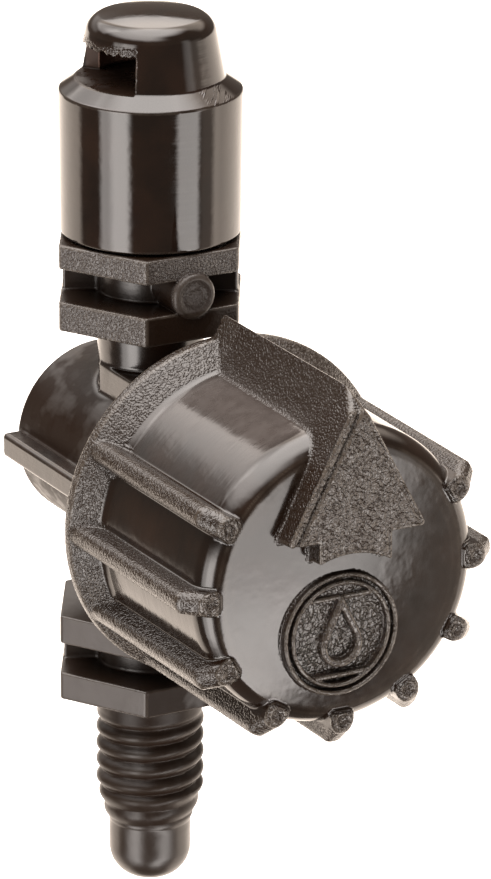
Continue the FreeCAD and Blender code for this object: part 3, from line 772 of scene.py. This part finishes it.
# Lighter colour for worn edges and scratches, and for painted edge highlights.
WEAR_AND_HIGHLIGHT_TINT = (0.09, 0.075, 0.06)
GRAIN_DEPTH = 0.02
CRACK_DEPTH = 0.045
LUMP_DEPTH = 0.09
RIPPLE_DEPTH = 0.012
LINE_DEPTH = 0.0055
SCRATCH_DEPTH = 0.03
LINE_SCALES = (4200, 160)
SCRATCH_WAYS = (((-0.350, -0.134, 0.927), 9500.0), ((0.865, 0.332, 0.375), 700.0))


class Nodes:
    """Short way to write shader nodes."""

    def __init__(self, name):
        self.mat = bpy.data.materials.new(name)
        self.mat.use_nodes = True
        self.tree = self.mat.node_tree
        self.tree.nodes.clear()

    def add(self, kind, **props):
        node = self.tree.nodes.new(kind)
        inputs = props.pop("inputs", {})
        for key, value in props.items():
            setattr(node, key, value)
        for key, value in inputs.items():
            if isinstance(value, bpy.types.NodeSocket):
                self.tree.links.new(value, node.inputs[key])
            else:
                node.inputs[key].default_value = value
        return node

    def math(self, op, a, b=0.0, c=0.0):
        node = self.add("ShaderNodeMath", operation=op, inputs={0: a, 1: b, 2: c})
        return node.outputs[0]

    def times(self, a, b):
        return self.math("MULTIPLY", a, b)

    def most(self, a, b):
        return self.math("MAXIMUM", a, b)

    def ramp(self, value, a0, a1, b0, b1):
        node = self.add("ShaderNodeMapRange", clamp=True, inputs={0: value, 1: a0, 2: a1, 3: b0, 4: b1})
        return node.outputs[0]

    def attribute(self, name):
        return self.add("ShaderNodeAttribute", attribute_name=name).outputs["Fac"]

    def coords(self, scale=(1, 1, 1)):
        where = self.add("ShaderNodeTexCoord").outputs["Object"]
        return self.add("ShaderNodeMapping", inputs={"Vector": where, "Scale": scale}).outputs[0]

    def along(self, vector, way):
        node = self.add("ShaderNodeVectorMath", operation="DOT_PRODUCT", inputs={0: vector, 1: way})
        return node.outputs["Value"]

    def blend(self, factor, a, b):
        return self.add("ShaderNodeMix", data_type="FLOAT", inputs={0: factor, 2: a, 3: b}).outputs[0]

    def tint(self, factor, a, b):
        a, b = (c if isinstance(c, bpy.types.NodeSocket) else [*c, 1] for c in (a, b))
        return self.add("ShaderNodeMix", data_type="RGBA", inputs={0: factor, 6: a, 7: b}).outputs[2]

    def bump(self, height, depth, normal=None):
        inputs = {"Strength": 1.0, "Distance": depth * MM, "Height": height}
        if normal is not None:
            inputs["Normal"] = normal
        return self.add("ShaderNodeBump", inputs=inputs).outputs[0]

    def noise(self, vector, scale, detail=3.0, rough=0.55):
        inputs = {"Vector": vector, "Scale": scale, "Detail": detail, "Roughness": rough}
        return self.add("ShaderNodeTexNoise", inputs=inputs).outputs[0]

    def surface(self, shader):
        out = self.add("ShaderNodeOutputMaterial")
        self.tree.links.new(shader.outputs[0], out.inputs[0])
        return self.mat


def scaled(colour, factors):
    return [c * k for c, k in zip(colour, factors)]


class Plastic(Nodes):
    """Moulded black plastic: polished where grain is 0, spark-textured where it is 1."""

    def __init__(self, name, line_axis):
        super().__init__(name)
        p = self.coords()
        self.edge = self.ramp(self.attribute("edge"), 0.1, 0.5, 0.0, 1.0)
        self.grain = self.attribute("grain")
        self.satin = self.attribute("satin")
        self.shade_and_dull = self.attribute("shade_and_dull")
        self.painted_sheen = self.attribute("painted_sheen")
        self.blot = self.noise(p, 450, 3)
        self.smear = self.noise(p, 1300, 3, 0.6)
        self.fine = self.noise(p, 10500, 0.5, 0.5)
        self.lumps = self.noise(p, 1900, 1.0, 0.5)
        self.ripple = self.noise(p, 1500, 2, 0.5)
        stretch = [LINE_SCALES[axis != line_axis] for axis in range(3)]
        self.lines = self.noise(self.coords(stretch), 1.0, 2, 0.6)
        self.pitted = self.times(self.grain, self.attribute("coarse"))
        cracks = self.math("ABSOLUTE", self.math("SUBTRACT", self.noise(p, 3600, 1.0, 0.6), 0.5))
        self.ridges = self.times(self.ramp(cracks, 0.0, 0.055, 0, 1), self.pitted)
        self.scratches = self.scratch_marks(p)

    def scratch_marks(self, p):
        """Straight marks across the scarred place, long one way and thin the other."""
        parts = {i: self.times(self.along(p, way), scale) for i, (way, scale) in enumerate(SCRATCH_WAYS)}
        vector = self.add("ShaderNodeCombineXYZ", inputs=parts).outputs[0]
        marks = self.ramp(self.noise(vector, 1.0, 1, 0.5), 0.5, 0.57, 0, 1)
        return self.times(marks, self.attribute("scar"))

    def roughness(self, polish):
        rough = self.ramp(self.smear, 0.3, 0.7, polish - 0.02, polish + 0.05)
        rough = self.blend(self.satin, rough, self.ramp(self.smear, 0.3, 0.7, 0.28, 0.36))
        dull = self.times(self.shade_and_dull, self.ramp(self.smear, 0.5, 0.62, 1.0, 0.3))
        rough = self.blend(dull, rough, self.ramp(self.smear, 0.3, 0.7, 0.36, 0.48))
        return self.blend(self.grain, rough, self.ramp(self.fine, 0.35, 0.65, 0.15, 0.3))

    def colour(self, base, hollow):
        dark, light = scaled(base, (0.75, 0.75, 0.75)), scaled(base, (1.6, 1.5, 1.4))
        tone = self.tint(self.ramp(self.blot, 0.35, 0.7, 0, 1), dark, light)
        tone = self.tint(self.grain, tone, scaled(base, (1.5, 1.6, 1.6)))
        tone = self.tint(self.times(self.ridges, 0.6), tone, RIDGE_TINT)
        # Painted shade: darker on the barrel, between the plates, on the knob-shaded flats and on the
        # window's jambs; the gate and thread are just darker skin.
        tone = self.tint(self.shade_and_dull, tone, SHADE_AND_DULL_TINT)
        # Satin faces take the hollow colour; inside the cap's spray chamber that colour is painted light.
        tone = self.tint(self.satin, tone, hollow)
        # Painted sheen: a lighter grey on the hexagons' flats and on the knob's panel beside the arrow.
        sheen_amount = self.times(self.painted_sheen, self.ramp(self.smear, 0.3, 0.7, 0.7, 1.0))
        tone = self.tint(sheen_amount, tone, PAINTED_SHEEN_TINT)
        # Lighter convex edges: partly real wear, partly a painted edge highlight; the shoulder's scratches,
        # real wear, take the same colour.
        wear_and_highlight = self.times(self.edge, self.ramp(self.smear, 0.35, 0.6, 0.3, 1.0))
        wear_and_highlight = self.times(wear_and_highlight, self.ramp(self.grain, 0, 1, 0.35, 0.85))
        wear_and_highlight = self.most(self.times(wear_and_highlight, 0.4), self.times(self.scratches, 0.15))
        return self.tint(wear_and_highlight, tone, WEAR_AND_HIGHLIGHT_TINT)

    def relief(self, wave):
        even = self.times(self.grain, self.ramp(self.edge, 0.0, 1.0, 1.0, 0.3))
        normal = self.bump(self.times(self.ramp(self.fine, 0.34, 0.66, 0, 1), even), GRAIN_DEPTH)
        normal = self.bump(self.ridges, CRACK_DEPTH, normal)
        normal = self.bump(self.times(self.lumps, self.pitted), LUMP_DEPTH, normal)
        ripple = self.times(self.ripple, self.ramp(self.blot, 0.4, 0.6, 0.2, 1.0))
        normal = self.bump(ripple, RIPPLE_DEPTH * wave, normal)
        normal = self.bump(self.lines, LINE_DEPTH * wave, normal)
        return self.bump(self.scratches, SCRATCH_DEPTH, normal)

    def specular(self):
        """Less gloss where shade is painted: on the barrel, the plate gaps, the knob-shaded flats, the
        spray chamber and the window's jambs, and in the cracks' hollows; a little less on satin faces; the
        gate and thread are just duller.
        """
        shade_and_dull_loss = self.times(self.shade_and_dull, self.ramp(self.blot, 0.5, 0.62, 1.0, 0.35))
        hollows = self.times(self.math("SUBTRACT", self.pitted, self.ridges), 0.8)
        lost = self.most(shade_and_dull_loss, self.most(hollows, self.times(self.satin, 0.12)))
        return self.ramp(lost, 0, 1, 0.5, 0.08)


def plastic(name, base, polish, line_axis, wave=1.0, hollow=HOLLOW_TINT):
    """polish is the smooth faces' roughness, wave the strength of their ripples."""
    n = Plastic(name, line_axis)
    return n.surface(n.add("ShaderNodeBsdfPrincipled", inputs={
        "Base Color": n.colour(base, hollow), "Roughness": n.roughness(polish),
        "Normal": n.relief(wave), "IOR": 1.5, "Specular IOR Level": n.specular(),
    }))


def dress(obj, mat):
    obj.data.materials.clear()
    obj.data.materials.append(mat)


dress(body, plastic("body_plastic_skin", (0.0056, 0.0028, 0.0016), 0.17, 2))
dress(knob, plastic("knob_plastic_skin", (0.0060, 0.0030, 0.0017), 0.12, 1))
dress(cap, plastic("cap_plastic_skin", (0.0056, 0.0027, 0.0016), 0.06, 2, 0.55, CHAMBER_PAINTED_LIGHT_TINT))

inner = plastic("inner_plastic_skin", (0.010, 0.008, 0.007), 0.3, 2)
rubber = plastic("rubber_skin", (0.008, 0.008, 0.008), 0.45, 2)
for node, mat in (
    ("valve_spindle", inner), ("nozzle_disc", inner),
    ("cap_seal", rubber), ("spindle_seal_front", rubber), ("spindle_seal_rear", rubber),
):
    for material_slot in frame["nodes"][node].material_slots:
        material_slot.material = mat


# ---------------------------------------------------------------- stage, light and camera

AZ, EL, ROLL = math.radians(-28.768), math.radians(19.386), math.radians(-0.368)
DISTANCE = 280.229
VIEW_HEIGHT = 38.8011
AIM = Vector((0, 0, 10.627))
SHIFT_RIGHT, SHIFT_UP = 4.194, 0.820
SENSOR = 36

right = Vector((math.cos(AZ), math.sin(AZ), 0))
back = Vector((math.sin(AZ) * math.cos(EL), -math.cos(AZ) * math.cos(EL), math.sin(EL)))
up = back.cross(right)
target = right * SHIFT_RIGHT + up * SHIFT_UP + AIM

camera = bpy.data.objects.new("camera", bpy.data.cameras.new("camera"))
bpy.context.scene.collection.objects.link(camera)
roll = Matrix.Rotation(-ROLL, 3, back)
camera_axes = Matrix((roll @ right, roll @ up, back)).transposed()
camera.matrix_world = Matrix.Translation((target + back * DISTANCE) * MM) @ camera_axes.to_4x4()
camera.data.sensor_fit = "AUTO"
camera.data.sensor_width = SENSOR
camera.data.lens = SENSOR * DISTANCE / VIEW_HEIGHT
camera.data.clip_start = 0.01
camera.data.clip_end = 20
bpy.context.scene.camera = camera

FLOOR_Z = -22.0
FLOOR_HALF = 3000.0
floor_mesh = bpy.data.meshes.new("floor")
floor_corners = [
    (u * FLOOR_HALF * MM, v * FLOOR_HALF * MM, FLOOR_Z * MM)
    for u, v in ((-1, -1), (1, -1), (1, 1), (-1, 1))
]
floor_mesh.from_pydata(floor_corners, [], [(0, 1, 2, 3)])
floor = bpy.data.objects.new("floor", floor_mesh)
bpy.context.scene.collection.objects.link(floor)
paper = Nodes("floor_paper")
shade = paper.ramp(paper.noise(paper.coords(), 30, 3), 0.3, 0.7, 0.8, 0.84)
grey = paper.add("ShaderNodeCombineColor", inputs={0: shade, 1: shade, 2: shade}).outputs[0]
paper_skin = paper.add("ShaderNodeBsdfPrincipled", inputs={"Base Color": grey, "Roughness": 0.9})
floor.data.materials.append(paper.surface(paper_skin))
# The object hangs clear of the floor and takes its light from the studio all round it.
floor.visible_glossy = False
floor.visible_diffuse = False
floor.visible_shadow = False


class Studio(Nodes):
    """Soft light by direction, in degrees: azimuth 0 is the main view's side and grows to its right."""

    def __init__(self, world):
        world.use_nodes = True
        self.tree = world.node_tree
        self.tree.nodes.clear()
        way = self.add("ShaderNodeTexCoord").outputs["Generated"]
        spin = {"Vector": way, "Angle": -AZ}
        way = self.add("ShaderNodeVectorRotate", rotation_type="Z_AXIS", inputs=spin).outputs[0]
        parts = self.add("ShaderNodeSeparateXYZ", inputs={0: way}).outputs
        front = self.times(parts[1], -1.0)
        self.az = self.degrees("ARCTAN2", parts[0], front)
        self.back_az = self.degrees("ARCTAN2", parts[0], parts[1])
        self.el = self.degrees("ARCSINE", parts[2])
        self.total = None

    def degrees(self, op, *values):
        return self.times(self.math(op, *values), math.degrees(1))

    def fade(self, value, edge, soft, levels):
        inputs = {0: value, 1: edge - soft, 2: edge + soft, 3: levels[0], 4: levels[1]}
        return self.add("ShaderNodeMapRange", interpolation_type="SMOOTHSTEP", inputs=inputs).outputs[0]

    def band(self, value, low, high, soft):
        return self.times(self.fade(value, low, soft, (0.0, 1.0)), self.fade(value, high, soft, (1.0, 0.0)))

    def panel(self, azimuths, elevations, soft, radiance, colour=(1.0, 0.94, 0.90), lean=0.0, behind=False):
        """Adds a soft-edged light; lean slides its azimuth per degree of elevation."""
        az = self.math("MULTIPLY_ADD", self.el, -lean, self.back_az if behind else self.az)
        mask = self.times(self.band(az, *azimuths, soft[0]), self.band(self.el, *elevations, soft[1]))
        inputs = {0: [c * radiance for c in colour], "Scale": mask}
        light = self.add("ShaderNodeVectorMath", operation="SCALE", inputs=inputs).outputs[0]
        if self.total is None:
            self.total = light
        else:
            both = {0: self.total, 1: light}
            self.total = self.add("ShaderNodeVectorMath", operation="ADD", inputs=both).outputs[0]

    def finish(self):
        glow = self.add("ShaderNodeBackground", inputs={"Color": self.total, "Strength": 1.0})
        self.tree.links.new(glow.outputs[0], self.add("ShaderNodeOutputWorld").inputs[0])


WARM = (1.0, 0.86, 0.74)
ALL_ROUND = (-400, 400)

world = bpy.data.worlds.new("studio")
bpy.context.scene.world = world
studio = Studio(world)
# A faint glow from everywhere, then the lights above.
studio.panel(ALL_ROUND, (-100, 100), (1, 1), 0.24, WARM)
studio.panel(ALL_ROUND, (62, 100), (1, 12), 9.0)
studio.panel((-120, 22), (40, 62), (24, 10), 6.5)
studio.panel((-150, -100), (28, 58), (6, 4), 3.0)
# Behind, above the horizon and then below it; azimuth 0 is straight behind here.
studio.panel((-30, 62), (29, 66), (12, 6), 2.2, WARM, behind=True)
studio.panel((-62, -10), (14, 30), (8, 6), 0.8, behind=True)
studio.panel((-11, 11), (24.0, 66), (7, 1.4), 2.4, behind=True)
studio.panel((-82, -46), (-62, -14), (5, 3), 2.6, WARM, behind=True)
studio.panel((-46, 94), (-62, -1), (5, 3), 2.6, WARM, behind=True)
# Left, then right.
studio.panel((-65, -26), (-48, 6), (4, 8), 4.8)
studio.panel((-50, -26), (-48, 6), (6, 8), 3.8)
studio.panel((39, 68), (-21, -8), (4, 3), 5.8, lean=0.25)
studio.panel((46, 80), (-58, -21), (3.5, 3), 8.8, lean=0.8)
studio.panel((58, 72), (-8, 20), (5, 5), 1.3)
studio.panel((66, 96), (-50, 8), (6, 8), 0.7, WARM)
studio.finish()
bpy.context.scene.view_settings.view_transform = "Standard"
